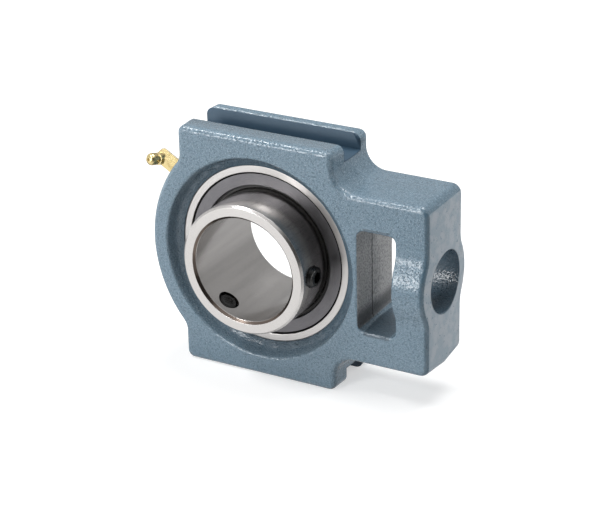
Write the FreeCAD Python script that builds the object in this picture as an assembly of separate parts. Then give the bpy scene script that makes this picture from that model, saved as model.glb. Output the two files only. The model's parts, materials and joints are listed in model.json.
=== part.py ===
import FreeCAD, Part
import math
import os

from FreeCAD import Rotation, Vector

# Take-up bearing unit with a 50 mm bore, in millimetres.
# The origin is the centre of the ball-shaped seat. The shaft runs along Y with the long end of
# the inner ring towards -Y (the front), the adjusting screw enters along X from the +X end, and
# the unit stands on its two lower guide lips with +Z up.

# Casting: outline in the XZ plane, measured half way through its thickness at the parting plane
housing_height = 117.0
draft_deg = 3.0
front_face_y = -19.0
back_face_y = 16.0
left_end_radius = 63.5
left_end_centre_x = 6.2
lip_left_x = -41.4
lip_right_x = 39.7
block_height = 83.1
end_face_x = 86.7
lip_corner_radius = 3.6
block_corner_radius = 4.6
lip_block_fillet = 10.0
lip_end_fillet = 8.0
edge_round = 2.6

# Casting: guide grooves for the rails of the take-up frame
groove_width = 16.0
groove_floor_distance = 102.0

# Casting: nut window and end wall
window_width = 19.0
window_height = 49.0
window_corner_radius = 3.0
window_edge_round = 0.8
end_wall = 16.7

# Casting: adjusting screw's hole and the swelling round it
screw_hole_diameter = 29.0
screw_hole_chamfer = 0.6
swelling_diameter = 45.0
swelling_blend = 12.0

# Casting: dished front and back round the ball-shaped seat
seat_half_width = 12.5
land_step = 1.2
front_dish_flare = 2.5
back_dish_flare = 1.4
dish_edge_round = 1.5

# Insert: standard size with ten balls of half an inch
bore_diameter = 50.0
outer_ring_sphere_radius = 45.0
outer_ring_width = 24.0
inner_ring_width = 51.6
inner_ring_back_length = 19.0
ball_share_of_section = 0.635
ball_count = 10
first_ball_deg = 18.0
race_relief = 0.25
inner_ring_below_pitch = 3.75
outer_land_above_pitch = 3.9
outer_edge_chamfer = 0.5
inner_edge_chamfer = 1.0
bore_chamfer = 1.25

# Fits between the pieces
seat_clearance = 0.04
ball_clearance = 0.03
cage_clearance = 0.2
thread_clearance = 0.05
seal_lip_clearance = 0.12
valve_clearance = 0.05

# Grease path from the nipple to the balls
grease_groove_y = -6.2
grease_groove_width = 3.2
grease_groove_depth = 0.8
grease_hole_radius = 0.8
grease_hole_y = -6.9
housing_passage_radius = 1.6

# Loading slots at the back, through which the insert is put in crosswise
loading_slot_clearance = 0.6

# Shields and seal lips
seal_pocket_step = 0.8
snap_groove_depth = 0.7
snap_groove_width = 1.0
snap_groove_y = 9.9
shield_gap = 1.75
shield_thickness = 0.8
shield_face_y = 11.3
shield_curl_depth = 1.9
lip_sheet = 0.9
lip_bond_width = 3.0

# Ball cage
cage_below_pitch = 1.6
cage_above_pitch = 1.8
cage_sheet = 0.8
rivet_radius = 0.9
rivet_head_radius = 1.6
rivet_head_height = 0.6

# Set screws in the long end of the inner ring
set_screw_angles_deg = (0.0, -122.0)
set_screw_from_end = 9.0
set_screw_diameter = 10.0
set_screw_stand_out = 2.25
set_screw_recess = 0.5
set_screw_chamfer = 0.8
socket_across_flats = 5.0
socket_depth = 4.2
cup_radius = 2.6
cup_depth = 1.1

# Grease nipple with its head turned towards the front
nipple_angle_deg = 149.0
nipple_y = -4.0
nipple_spot_depth = 1.2
nipple_spot_radius = 6.0
nipple_thread_diameter = 6.0
nipple_thread_length = 6.5
nipple_hex_across_flats = 9.0
nipple_hex_height = 3.0
nipple_body_across_flats = 7.0
nipple_body_height = 13.6
nipple_elbow_height = 10.0
nipple_turn_deg = 67.5
nipple_edge_chamfer = 0.5
nipple_collar_radius = 2.95
nipple_collar_length = 4.4
nipple_neck_radius = 2.3
nipple_neck_start = 4.8
nipple_neck_end = 5.3
nipple_bead_radius = 2.9
nipple_bead_start = 5.9
nipple_dome_radius = 2.0
nipple_head_length = 10.0
nipple_channel_radius = 1.25
valve_bore_radius = 1.6
valve_bore_start = 1.0
valve_seat_length = 8.6
valve_orifice_radius = 0.7
check_ball_radius = 1.35
spring_coil_radius = 1.15
spring_wire_radius = 0.2
spring_turns = 5.5

# Cutting tools reach past the surface by these amounts, and edges are found to this tolerance
overcut = 8.0
short_overcut = 1.0
tolerance = 1e-5


# Parting plane of the casting's mould
mid_y = (front_face_y + back_face_y) / 2


def drawn_in(y):
    """Amount by which the draft draws the casting's outline in at one depth."""
    return abs(y - mid_y) * math.tan(math.radians(draft_deg))


def distance_to_left_end(angle_deg, y):
    """Distance from the shaft's axis to the casting's round left end, along one radius."""
    shift = left_end_centre_x * math.cos(math.radians(angle_deg))
    offset = left_end_centre_x * math.sin(math.radians(angle_deg))
    return shift + math.sqrt((left_end_radius - drawn_in(y)) ** 2 - offset ** 2)


# Values that follow from the sizes above
half_height = housing_height / 2
block_half = block_height / 2
half_thickness = (back_face_y - front_face_y) / 2
window_right_x = end_face_x - end_wall
window_left_x = window_right_x - window_width
window_half = window_height / 2
swelling_radius = swelling_diameter / 2
seat_radius = outer_ring_sphere_radius + seat_clearance
ring_half = outer_ring_width / 2
land_radius = outer_ring_sphere_radius + land_step
front_dish_radius = land_radius + front_dish_flare
back_dish_radius = land_radius + back_dish_flare
bore_radius = bore_diameter / 2
ball_radius = ball_share_of_section * (outer_ring_sphere_radius - bore_radius) / 2
pitch_radius = (outer_ring_sphere_radius + bore_radius) / 2
race_curvature = ball_radius + race_relief
inner_ring_radius = pitch_radius - inner_ring_below_pitch
inner_ring_front_y = inner_ring_back_length - inner_ring_width
outer_land_radius = pitch_radius + outer_land_above_pitch
seal_pocket_radius = outer_land_radius + seal_pocket_step
snap_groove_radius = seal_pocket_radius + snap_groove_depth
shield_inner_radius = inner_ring_radius + shield_gap
lip_bond_radius = shield_inner_radius + lip_bond_width
cage_inner_radius = pitch_radius - cage_below_pitch
cage_outer_radius = pitch_radius + cage_above_pitch
outer_race_centre = pitch_radius + ball_radius + ball_clearance - race_curvature
inner_race_centre = pitch_radius - ball_radius - ball_clearance + race_curvature
outer_race_half = math.sqrt(race_curvature ** 2 - (outer_land_radius - outer_race_centre) ** 2)
inner_race_half = math.sqrt(race_curvature ** 2 - (inner_race_centre - inner_ring_radius) ** 2)
ball_step_deg = 360.0 / ball_count
set_screw_y = inner_ring_front_y + set_screw_from_end
set_screw_radius = set_screw_diameter / 2
set_screw_tip = bore_radius + set_screw_recess
set_screw_top = inner_ring_radius + set_screw_stand_out
nipple_seat_radius = distance_to_left_end(nipple_angle_deg, nipple_y) - nipple_spot_depth
nipple_body_top_radius = nipple_seat_radius + nipple_body_height
nipple_elbow_radius = nipple_seat_radius + nipple_elbow_height


def sphere_rim(radius, distance):
    """Radius of the circle that a plane at this distance cuts from a ball."""
    return math.sqrt(radius ** 2 - distance ** 2)


def arc_point(centre, radius, angle_deg):
    """Point on an arc in its own plane."""
    turn = math.radians(angle_deg)
    return (centre[0] + radius * math.cos(turn), centre[1] + radius * math.sin(turn))


def outline_face(steps, place):
    """Face inside an outline of steps: (u, v) is a corner, (centre, radius, from, to) an arc."""
    pieces = []
    ends = []
    for step in steps:
        if len(step) == 2:
            ends.append((step, step))
            continue
        centre, radius, start_deg, end_deg = step
        middle_deg = (start_deg + end_deg) / 2
        points = [arc_point(centre, radius, a) for a in (start_deg, middle_deg, end_deg)]
        pieces.append(Part.Arc(*[place(*point) for point in points]).toShape())
        ends.append((points[0], points[-1]))
    for (_, end), (following, _) in zip(ends, ends[1:] + ends[:1]):
        if math.dist(end, following) > tolerance:
            pieces.append(Part.makeLine(place(*end), place(*following)))
    return Part.Face(Part.Wire(Part.sortEdges(pieces)[0]))


def turned(steps):
    """Solid of revolution about Y from an outline of (radius, y) steps."""
    face = outline_face(steps, lambda r, y: Vector(r, y, 0))
    return face.revolve(Vector(0, 0, 0), Vector(0, 1, 0), 360)


def radial_placement(angle_deg, y):
    """Placement with local Z outwards along a radius, local X towards the front."""
    outwards = Vector(math.cos(math.radians(angle_deg)), 0, math.sin(math.radians(angle_deg)))
    front = Vector(0, -1, 0)
    turn = Rotation(front, outwards.cross(front), outwards, "ZXY")
    return FreeCAD.Placement(Vector(0, y, 0), turn)


def round_bar(radius, start, end):
    """Cylinder along local Z between two heights."""
    return Part.makeCylinder(radius, end - start, Vector(0, 0, start))


def hex_bar(across_flats, start, end):
    """Hexagonal bar along local Z with a flat towards local X."""
    corner = across_flats / math.sqrt(3)
    points = [
        Vector(
            corner * math.cos(math.radians(30 + 60 * i)),
            corner * math.sin(math.radians(30 + 60 * i)),
            start,
        )
        for i in range(6)
    ]
    return Part.Face(Part.makePolygon(points + points[:1])).extrude(Vector(0, 0, end - start))


def chamfered_bar(bar, across_flats, top, chamfer):
    """Hexagonal bar with the corners of its top turned off."""
    corner = across_flats / math.sqrt(3)
    end_radius = across_flats / 2 - chamfer
    height = corner + top - end_radius
    blank = Part.makeCone(corner + top, end_radius, height)
    blank.translate(Vector(0, 0, top - height))
    return bar.common(blank)


def casting_wire(y):
    """Outline of the casting at one depth: lips, end block and round left end."""
    inset = drawn_in(y)
    left = lip_left_x + inset
    right = lip_right_x - inset
    block = block_half - inset
    corner = lip_corner_radius
    outer = block_corner_radius
    end = end_face_x - inset - outer
    radius = left_end_radius - inset
    centre_x = left_end_centre_x
    fillet_x = left - lip_end_fillet
    fillet_z = math.sqrt((radius + lip_end_fillet) ** 2 - (fillet_x - centre_x) ** 2)
    turn = math.degrees(math.atan2(fillet_z, centre_x - fillet_x))
    lip_z = half_height - corner
    blend = min(lip_block_fillet, lip_z - block)
    steps = [
        ((left + corner, lip_z), corner, 180, 90),
        ((right - corner, lip_z), corner, 90, 0),
        ((right + blend, block + blend), blend, 180, 270),
        ((end, block - outer), outer, 90, 0),
        ((end, outer - block), outer, 0, -90),
        ((right + blend, -block - blend), blend, 90, 180),
        ((right - corner, -lip_z), corner, 0, -90),
        ((left + corner, -lip_z), corner, 270, 180),
        ((fillet_x, -fillet_z), lip_end_fillet, 0, turn),
        ((centre_x, 0), radius, 180 + turn, 180 - turn),
        ((fillet_x, fillet_z), lip_end_fillet, -turn, 0),
    ]
    return outline_face(steps, lambda x, z: Vector(x, y, z)).OuterWire


def edges_in_plane(shape, normal_axis, value):
    """Edges whose ends and middle all lie in one plane across an axis."""
    found = []
    for edge in shape.Edges:
        middle = edge.valueAt((edge.FirstParameter + edge.LastParameter) / 2)
        points = [v.Point for v in edge.Vertexes] + [middle]
        if all(abs(getattr(p, normal_axis) - value) < tolerance for p in points):
            found.append(edge)
    return found


def true_planes(solid):
    """The same solid with every flat side remade as a true plane."""
    faces = []
    for face in solid.Faces:
        plane = face.findPlane()
        faces.append(Part.Face(plane, face.Wires) if plane else face)
    return Part.Solid(Part.Shell(faces))


def casting_blank():
    """Casting before any opening, with draft from the parting plane and rounded edges."""
    halves = [
        true_planes(Part.makeLoft([casting_wire(mid_y), casting_wire(face_y)], True, True))
        for face_y in (front_face_y, back_face_y)
    ]
    blank = halves[0].fuse(halves[1])
    rims = edges_in_plane(blank, "y", front_face_y) + edges_in_plane(blank, "y", back_face_y)
    return blank.makeFillet(edge_round, rims)


def end_wall_with_swelling():
    """End wall between the window and the end face, swollen round the screw's hole."""
    reach = half_thickness + swelling_blend
    blend_z = math.sqrt((swelling_radius + swelling_blend) ** 2 - reach ** 2)
    lean = math.degrees(math.atan2(blend_z, reach))
    inner_x = window_right_x - window_width / 2

    def place(y, z):
        return Vector(inner_x, y, z)

    outline = [
        (front_face_y, window_half),
        ((mid_y - reach, blend_z), swelling_blend, 0, -lean),
        ((mid_y, 0), swelling_radius, 180 - lean, 180 + lean),
        ((mid_y - reach, -blend_z), swelling_blend, lean, 0),
        (front_face_y, -window_half),
        (back_face_y, -window_half),
        ((mid_y + reach, -blend_z), swelling_blend, 180, 180 - lean),
        ((mid_y, 0), swelling_radius, -lean, lean),
        ((mid_y + reach, blend_z), swelling_blend, 180 + lean, 180),
        (back_face_y, window_half),
    ]
    wall = outline_face(outline, place).extrude(Vector(end_face_x - inner_x, 0, 0))
    wall = wall.common(drafted_end(inner_x))
    rim = [edge for edge in wall.Edges if on_drafted_end(edge)]
    return wall.makeFillet(edge_round, rim)


def drafted_end(inner_x):
    """Wedge that gives the end wall its two drafted end faces."""
    reach = 2 * swelling_radius
    points = [
        Vector(inner_x, mid_y - reach, -window_half),
        Vector(end_face_x - drawn_in(mid_y - reach), mid_y - reach, -window_half),
        Vector(end_face_x, mid_y, -window_half),
        Vector(end_face_x - drawn_in(mid_y + reach), mid_y + reach, -window_half),
        Vector(inner_x, mid_y + reach, -window_half),
    ]
    face = Part.Face(Part.makePolygon(points + points[:1]))
    return face.extrude(Vector(0, 0, window_height))


def on_drafted_end(edge):
    """Whether an edge bounds a drafted end face at the front or the back, not at the cuts."""
    middle = edge.valueAt((edge.FirstParameter + edge.LastParameter) / 2)
    points = [v.Point for v in edge.Vertexes] + [middle]
    if any(abs(p.x - (end_face_x - drawn_in(p.y))) > tolerance for p in points):
        return False
    return abs(middle.y - mid_y) > half_thickness - tolerance


def window_wire(y):
    """Rounded rectangle of the nut window at one depth: narrowest at the parting plane."""
    inset = drawn_in(front_face_y) - drawn_in(y)
    radius = window_corner_radius
    left = window_left_x + inset + radius
    right = window_right_x - inset - radius
    top = window_half - inset - radius
    corners = [
        ((left, top), radius, 180, 90),
        ((right, top), radius, 90, 0),
        ((right, -top), radius, 0, -90),
        ((left, -top), radius, 270, 180),
    ]
    return outline_face(corners, lambda x, z: Vector(x, y, z)).OuterWire


def nut_window():
    """Tool for the nut window, with draft from the parting plane both ways."""
    reach = swelling_radius + overcut
    halves = [
        Part.makeLoft([window_wire(mid_y), window_wire(mid_y + way * reach)], True, True)
        for way in (-1, 1)
    ]
    return halves[0].fuse(halves[1])


def seat_and_dishes():
    """Tool for the ball-shaped seat, the land round it and the dishes at front and back."""
    rim_deg = math.degrees(math.asin(seat_half_width / seat_radius))
    front_slope = (front_dish_radius - land_radius) / (-seat_half_width - front_face_y)
    back_slope = (back_dish_radius - land_radius) / (back_face_y - seat_half_width)
    return turned(
        [
            (0, front_face_y - overcut),
            (front_dish_radius + front_slope * overcut, front_face_y - overcut),
            (land_radius, -seat_half_width),
            ((0, 0), seat_radius, -rim_deg, rim_deg),
            (land_radius, seat_half_width),
            (back_dish_radius + back_slope * overcut, back_face_y + overcut),
            (0, back_face_y + overcut),
        ]
    )


def loading_slots():
    """Tool for the two slots at the back through which the outer ring is loaded."""
    width = outer_ring_width + loading_slot_clearance
    slot = Part.makeCylinder(seat_radius, back_face_y + overcut, Vector(0, 0, 0), Vector(0, 1, 0))
    band = Part.makeBox(width, back_face_y + overcut, 2 * seat_radius)
    band.translate(Vector(-width / 2, 0, -seat_radius))
    return slot.common(band)


def guide_grooves():
    """Tool for the machined guide grooves along the top and the bottom."""
    floor = groove_floor_distance / 2
    length = lip_right_x - lip_left_x + 2 * overcut + 2 * lip_block_fillet
    groove = Part.makeBox(length, groove_width, half_height)
    groove.translate(Vector(lip_left_x - overcut - lip_block_fillet, -groove_width / 2, floor))
    below = groove.mirror(Vector(0, 0, 0), Vector(0, 0, 1))
    return groove.fuse(below)


def screw_hole():
    """Tool for the adjusting screw's hole through the end wall, chamfered at its mouth."""
    radius = screw_hole_diameter / 2
    start = Vector(window_right_x - window_width / 2, mid_y, 0)
    hole = Part.makeCylinder(radius, end_wall + window_width, start, Vector(1, 0, 0))
    mouth = Part.makeCone(
        radius,
        radius + 2 * screw_hole_chamfer,
        2 * screw_hole_chamfer,
        Vector(end_face_x - screw_hole_chamfer, mid_y, 0),
        Vector(1, 0, 0),
    )
    return hole.fuse(mouth)


def nipple_hole():
    """Tool for the nipple's spot face, tapped hole and grease passage to the seat."""
    tapped_depth = nipple_seat_radius - nipple_thread_length - thread_clearance
    spot = round_bar(nipple_spot_radius, nipple_seat_radius, nipple_seat_radius + overcut)
    tapped = round_bar(nipple_thread_diameter / 2, tapped_depth, nipple_seat_radius + overcut)
    passage = round_bar(housing_passage_radius, seat_radius - overcut, tapped_depth + overcut)
    tool = spot.fuse([tapped, passage])
    tool.Placement = radial_placement(nipple_angle_deg, nipple_y)
    return tool


def circle_edges(shape, radius, y):
    """Full circles about the shaft's axis with this radius, at this place along it."""
    return [
        edge
        for edge in shape.Edges
        if isinstance(edge.Curve, Part.Circle)
        and abs(edge.Curve.Radius - radius) < tolerance
        and abs(edge.Curve.Center.y - y) < tolerance
        and math.hypot(edge.Curve.Center.x, edge.Curve.Center.z) < tolerance
    ]


def window_rims(body):
    """Edges of the nut window in the casting's front and back faces, left of the end wall."""
    reach = window_left_x + window_corner_radius
    edges = edges_in_plane(body, "y", front_face_y) + edges_in_plane(body, "y", back_face_y)
    return [
        edge
        for edge in edges
        if all(
            window_left_x - tolerance < v.Point.x < reach and abs(v.Point.z) < window_half
            for v in edge.Vertexes
        )
    ]


def housing():
    """The iron casting with all its openings."""
    blank = casting_blank()
    notch = Part.makeBox(end_wall + window_width, 2 * half_thickness + overcut, window_height)
    notch.translate(Vector(window_right_x, front_face_y - overcut / 2, -window_half))
    body = blank.cut(notch).fuse(end_wall_with_swelling()).removeSplitter()
    body = body.cut(seat_and_dishes())
    rims = circle_edges(body, front_dish_radius, front_face_y)
    rims += circle_edges(body, back_dish_radius, back_face_y)
    body = body.makeFillet(dish_edge_round, rims)
    body = body.cut([nut_window(), screw_hole(), guide_grooves(), loading_slots(), nipple_hole()])
    return body.makeFillet(window_edge_round, window_rims(body))


def outer_ring():
    """Outer ring: ball-shaped outside, raceway, seal pockets and the grease groove."""
    chamfer = outer_edge_chamfer
    rim_deg = math.degrees(math.asin((ring_half - chamfer) / outer_ring_sphere_radius))
    race_deg = math.degrees(math.asin(outer_race_half / race_curvature))
    face_radius = sphere_rim(outer_ring_sphere_radius, ring_half) - chamfer
    snap_in = snap_groove_y - snap_groove_width / 2
    snap_out = snap_groove_y + snap_groove_width / 2
    ring = turned(
        [
            (face_radius, -ring_half),
            ((0, 0), outer_ring_sphere_radius, -rim_deg, rim_deg),
            (face_radius, ring_half),
            (seal_pocket_radius, ring_half),
            (seal_pocket_radius, snap_out),
            (snap_groove_radius, snap_out),
            (snap_groove_radius, snap_in),
            (outer_land_radius, snap_in),
            ((outer_race_centre, 0), race_curvature, race_deg, -race_deg),
            (outer_land_radius, -snap_in),
            (snap_groove_radius, -snap_in),
            (snap_groove_radius, -snap_out),
            (seal_pocket_radius, -snap_out),
            (seal_pocket_radius, -ring_half),
        ]
    )
    low = grease_groove_y - grease_groove_width / 2
    high = grease_groove_y + grease_groove_width / 2
    floor = sphere_rim(outer_ring_sphere_radius, grease_groove_y) - grease_groove_depth
    beyond = outer_ring_sphere_radius + overcut
    groove = turned([(floor, low), (beyond, low), (beyond, high), (floor, high)])
    holes = []
    for angle in (nipple_angle_deg, nipple_angle_deg + 180):
        hole = round_bar(grease_hole_radius, outer_land_radius - short_overcut, beyond)
        hole.Placement = radial_placement(angle, grease_hole_y)
        holes.append(hole)
    return ring.cut([groove] + holes)


def inner_ring():
    """Inner ring: bore for the shaft, raceway and the tapped holes in its long end."""
    race_deg = math.degrees(math.asin(inner_race_half / race_curvature))
    front = inner_ring_front_y
    back = inner_ring_back_length
    edge = inner_edge_chamfer
    ring = turned(
        [
            (bore_radius + bore_chamfer, front),
            (inner_ring_radius - edge, front),
            (inner_ring_radius, front + edge),
            ((inner_race_centre, 0), race_curvature, 180 + race_deg, 180 - race_deg),
            (inner_ring_radius, back - edge),
            (inner_ring_radius - edge, back),
            (bore_radius + bore_chamfer, back),
            (bore_radius, back - bore_chamfer),
            (bore_radius, front + bore_chamfer),
        ]
    )
    holes = []
    for angle in set_screw_angles_deg:
        hole = round_bar(
            set_screw_radius + thread_clearance,
            bore_radius - short_overcut,
            inner_ring_radius + short_overcut,
        )
        hole.Placement = radial_placement(angle, set_screw_y)
        holes.append(hole)
    return ring.cut(holes)


def ball_angles():
    """Angles of the balls round the shaft."""
    return [first_ball_deg + ball_step_deg * i for i in range(ball_count)]


def on_pitch_circle(angle_deg):
    """Point on the balls' pitch circle."""
    turn = math.radians(angle_deg)
    return Vector(pitch_radius * math.cos(turn), 0, pitch_radius * math.sin(turn))


def ball(angle_deg):
    """One ball of the bearing."""
    return Part.makeSphere(ball_radius, on_pitch_circle(angle_deg))


def cage_half(way):
    """One pressed ribbon of the cage: flats at the middle plane, round pockets between."""
    pocket = ball_radius + cage_clearance
    shell = pocket + cage_sheet
    flat = turned(
        [
            (cage_inner_radius, 0),
            (cage_outer_radius, 0),
            (cage_outer_radius, way * cage_sheet),
            (cage_inner_radius, way * cage_sheet),
        ]
    )
    band = turned(
        [
            (cage_inner_radius, 0),
            (cage_outer_radius, 0),
            (cage_outer_radius, way * (shell + short_overcut)),
            (cage_inner_radius, way * (shell + short_overcut)),
        ]
    )
    spheres = [Part.makeSphere(shell, on_pitch_circle(a)) for a in ball_angles()]
    domes = [sphere.common(band) for sphere in spheres]
    hollows = [Part.makeSphere(pocket, on_pitch_circle(a)) for a in ball_angles()]
    rivets = [rivet_shank(a, way) for a in rivet_angles()]
    return flat.multiFuse(domes).cut(hollows + rivets)


def rivet_angles():
    """Angles of the cage's rivets, half way between the balls."""
    return [a + ball_step_deg / 2 for a in ball_angles()]


def rivet_shank(angle_deg, way):
    """Rivet's hole through one ribbon."""
    centre = on_pitch_circle(angle_deg)
    return Part.makeCylinder(rivet_radius, 2 * cage_sheet, centre, Vector(0, way, 0))


def cage_rivets():
    """The rivets between the pockets, each with a domed head at both ends."""
    rivets = []
    for angle in rivet_angles():
        centre = on_pitch_circle(angle)
        start = centre - Vector(0, cage_sheet, 0)
        shank = Part.makeCylinder(rivet_radius, 2 * cage_sheet, start, Vector(0, 1, 0))
        heads = []
        for way in (-1, 1):
            seat = centre + Vector(0, way * cage_sheet, 0)
            heads.append(
                Part.makeCone(
                    rivet_head_radius, rivet_radius, rivet_head_height, seat, Vector(0, way, 0)
                )
            )
        rivets.append(shank.fuse(heads))
    return Part.makeCompound(rivets)


def shield(way):
    """Pressed shield: rim snapped in the outer ring, flat face, edge curled inwards."""
    face = way * shield_face_y
    inside = way * (shield_face_y - shield_thickness)
    rim_out = way * (snap_groove_y + snap_groove_width / 2)
    rim_in = way * (snap_groove_y - snap_groove_width / 2)
    curl = way * (shield_face_y - shield_curl_depth)
    wall = seal_pocket_radius - thread_clearance
    return turned(
        [
            (shield_inner_radius, curl),
            (shield_inner_radius, face),
            (wall, face),
            (wall, rim_out),
            (snap_groove_radius - thread_clearance, rim_out),
            (snap_groove_radius - thread_clearance, rim_in),
            (outer_land_radius, rim_in),
            (outer_land_radius, inside),
            (shield_inner_radius + shield_thickness, inside),
            (shield_inner_radius + shield_thickness, curl),
        ]
    )


def seal_lip(way):
    """Rubber lip bonded behind the shield, with its thin edge at the inner ring."""
    curl = way * (shield_face_y - shield_curl_depth)
    back = way * (shield_face_y - shield_curl_depth - lip_sheet)
    edge = inner_ring_radius + seal_lip_clearance
    root = shield_inner_radius + shield_thickness
    inside = way * (shield_face_y - shield_thickness)
    return turned(
        [
            (edge, curl - way * lip_sheet / 2),
            (edge + lip_sheet / 2, curl),
            (root, curl),
            (root, inside),
            (lip_bond_radius, inside),
            (lip_bond_radius, back),
            (edge + lip_sheet / 2, back),
        ]
    )


def set_screw(angle_deg):
    """Socket set screw with a cup point, its tip just short of the bore."""
    tip = set_screw_tip
    top = set_screw_top
    chamfer = set_screw_chamfer
    radius = set_screw_radius
    body = round_bar(radius, tip + chamfer, top - chamfer)
    point = Part.makeCone(radius - chamfer, radius, chamfer, Vector(0, 0, tip))
    head = Part.makeCone(radius, radius - chamfer, chamfer, Vector(0, 0, top - chamfer))
    cup = Part.makeCone(cup_radius, 0, cup_depth, Vector(0, 0, tip))
    socket = hex_bar(socket_across_flats, top - socket_depth, top + short_overcut)
    screw = body.fuse([point, head]).removeSplitter().cut([cup, socket])
    screw.Placement = radial_placement(angle_deg, set_screw_y)
    return screw


def nipple_head_placement():
    """Placement of the nipple's head: local Z from the elbow along the head's axis."""
    turn = Rotation(Vector(0, 1, 0), nipple_turn_deg)
    elbow = FreeCAD.Placement(Vector(0, 0, nipple_elbow_radius), turn)
    return radial_placement(nipple_angle_deg, nipple_y) * elbow


def turned_along_z(steps):
    """Solid of revolution about local Z from an outline of (radius, z) steps."""
    face = outline_face(steps, lambda r, z: Vector(r, 0, z))
    return face.revolve(Vector(0, 0, 0), Vector(0, 0, 1), 360)


def grease_nipple():
    """Brass nipple: threaded shank, hexagon, turned body and ball head, bored through."""
    hex_top = nipple_seat_radius + nipple_hex_height
    thread = round_bar(
        nipple_thread_diameter / 2 - thread_clearance,
        nipple_seat_radius - nipple_thread_length,
        nipple_seat_radius,
    )
    hexagon = hex_bar(nipple_hex_across_flats, nipple_seat_radius, hex_top)
    hexagon = chamfered_bar(hexagon, nipple_hex_across_flats, hex_top, nipple_edge_chamfer)
    body = hex_bar(nipple_body_across_flats, hex_top, nipple_body_top_radius)
    body = chamfered_bar(body, nipple_body_across_flats, nipple_body_top_radius, nipple_edge_chamfer)
    channel = round_bar(nipple_channel_radius, 0, nipple_elbow_radius)
    stem = thread.fuse([hexagon, body])
    stem.Placement = radial_placement(nipple_angle_deg, nipple_y)
    channel.Placement = radial_placement(nipple_angle_deg, nipple_y)
    dome_centre = nipple_bead_radius - nipple_dome_radius
    head = turned_along_z(
        [
            (0, 0),
            (nipple_collar_radius, 0),
            (nipple_collar_radius, nipple_collar_length),
            (nipple_neck_radius, nipple_neck_start),
            (nipple_neck_radius, nipple_neck_end),
            (nipple_bead_radius, nipple_bead_start),
            ((dome_centre, nipple_head_length - nipple_dome_radius), nipple_dome_radius, 0, 90),
            (0, nipple_head_length),
        ]
    )
    bore = round_bar(valve_bore_radius, valve_bore_start, valve_seat_length)
    orifice = round_bar(valve_orifice_radius, valve_seat_length, nipple_head_length + short_overcut)
    drilling = bore.fuse(orifice)
    head.Placement = nipple_head_placement()
    drilling.Placement = nipple_head_placement()
    return stem.fuse(head).cut([channel, drilling])


def check_ball_height():
    """Distance of the check ball's centre from the elbow, just off its seat."""
    return valve_seat_length - sphere_rim(check_ball_radius, valve_orifice_radius) - valve_clearance


def nipple_check_ball():
    """Steel ball that closes the nipple's orifice from inside."""
    centre = nipple_head_placement().multVec(Vector(0, 0, check_ball_height()))
    return Part.makeSphere(check_ball_radius, centre)


def nipple_spring():
    """Coil spring that holds the check ball on its seat."""
    start = valve_bore_start + spring_wire_radius + valve_clearance
    end = check_ball_height() - check_ball_radius
    height = end - start
    path = Part.makeHelix(height / spring_turns, height, spring_coil_radius)
    section = Part.Wire(
        Part.makeCircle(spring_wire_radius, Vector(spring_coil_radius, 0, 0), Vector(0, 1, 0))
    )
    spring = Part.Wire(path).makePipeShell([section], True, True)
    spring.translate(Vector(0, 0, start))
    spring.Placement = nipple_head_placement() * spring.Placement
    return spring


def save(shape, node):
    """Write one piece to its STEP file."""
    shape.exportStep("parts/" + node + ".step")
    print(node, len(shape.Solids), round(shape.Volume, 3), shape.isValid())


def main():
    """Build every piece of the unit and write it."""
    os.makedirs("parts", exist_ok=True)
    save(housing(), "housing")
    save(outer_ring(), "outer_ring")
    save(inner_ring(), "inner_ring")
    for number, angle in enumerate(ball_angles(), start=1):
        save(ball(angle), f"ball_{number:02d}")
    save(cage_half(-1), "cage_front")
    save(cage_half(1), "cage_rear")
    save(cage_rivets(), "cage_rivets")
    save(shield(-1), "front_shield")
    save(shield(1), "rear_shield")
    save(seal_lip(-1), "front_seal_lip")
    save(seal_lip(1), "rear_seal_lip")
    for number, angle in enumerate(set_screw_angles_deg, start=1):
        save(set_screw(angle), f"set_screw_{number}")
    save(grease_nipple(), "grease_nipple")
    save(nipple_check_ball(), "nipple_check_ball")
    save(nipple_spring(), "nipple_spring")


main()
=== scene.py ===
import json
import logging
import math
from dataclasses import dataclass
from enum import Enum

import bmesh
import bpy
from mathutils import Matrix, Vector

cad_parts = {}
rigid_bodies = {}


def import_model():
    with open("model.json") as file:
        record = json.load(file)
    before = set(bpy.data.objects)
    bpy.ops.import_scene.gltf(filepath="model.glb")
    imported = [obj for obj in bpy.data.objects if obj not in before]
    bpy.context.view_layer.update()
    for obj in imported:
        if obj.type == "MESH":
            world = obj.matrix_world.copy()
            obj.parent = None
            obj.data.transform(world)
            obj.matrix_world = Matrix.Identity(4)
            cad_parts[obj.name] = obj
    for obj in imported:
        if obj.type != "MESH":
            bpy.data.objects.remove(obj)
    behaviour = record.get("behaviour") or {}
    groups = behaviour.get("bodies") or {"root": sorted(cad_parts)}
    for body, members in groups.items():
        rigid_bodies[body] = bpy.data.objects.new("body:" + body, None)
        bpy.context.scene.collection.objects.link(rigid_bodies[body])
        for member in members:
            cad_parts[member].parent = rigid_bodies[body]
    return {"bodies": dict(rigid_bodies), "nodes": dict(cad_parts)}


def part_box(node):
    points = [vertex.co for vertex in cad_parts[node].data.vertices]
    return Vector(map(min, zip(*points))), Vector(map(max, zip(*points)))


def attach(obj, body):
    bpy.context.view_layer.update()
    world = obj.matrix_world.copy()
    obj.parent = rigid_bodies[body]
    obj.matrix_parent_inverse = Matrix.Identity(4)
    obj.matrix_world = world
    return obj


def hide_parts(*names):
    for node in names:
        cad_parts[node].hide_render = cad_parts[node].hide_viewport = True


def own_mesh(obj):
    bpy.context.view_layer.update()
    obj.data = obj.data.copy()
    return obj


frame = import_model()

LOG = logging.getLogger("take_up_unit")
MM = 0.001
SCREW_ANGLES_DEG = (0.0, -122.0)
SCREW_ALONG = -23.6 * MM
CARD_FOOT = -58.0 * MM
LONGEST_CUT = 0.48
ROUNDING_STEPS = 4
RACE_STEPS = 16
TURNED_WELD = 1e-7
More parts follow.
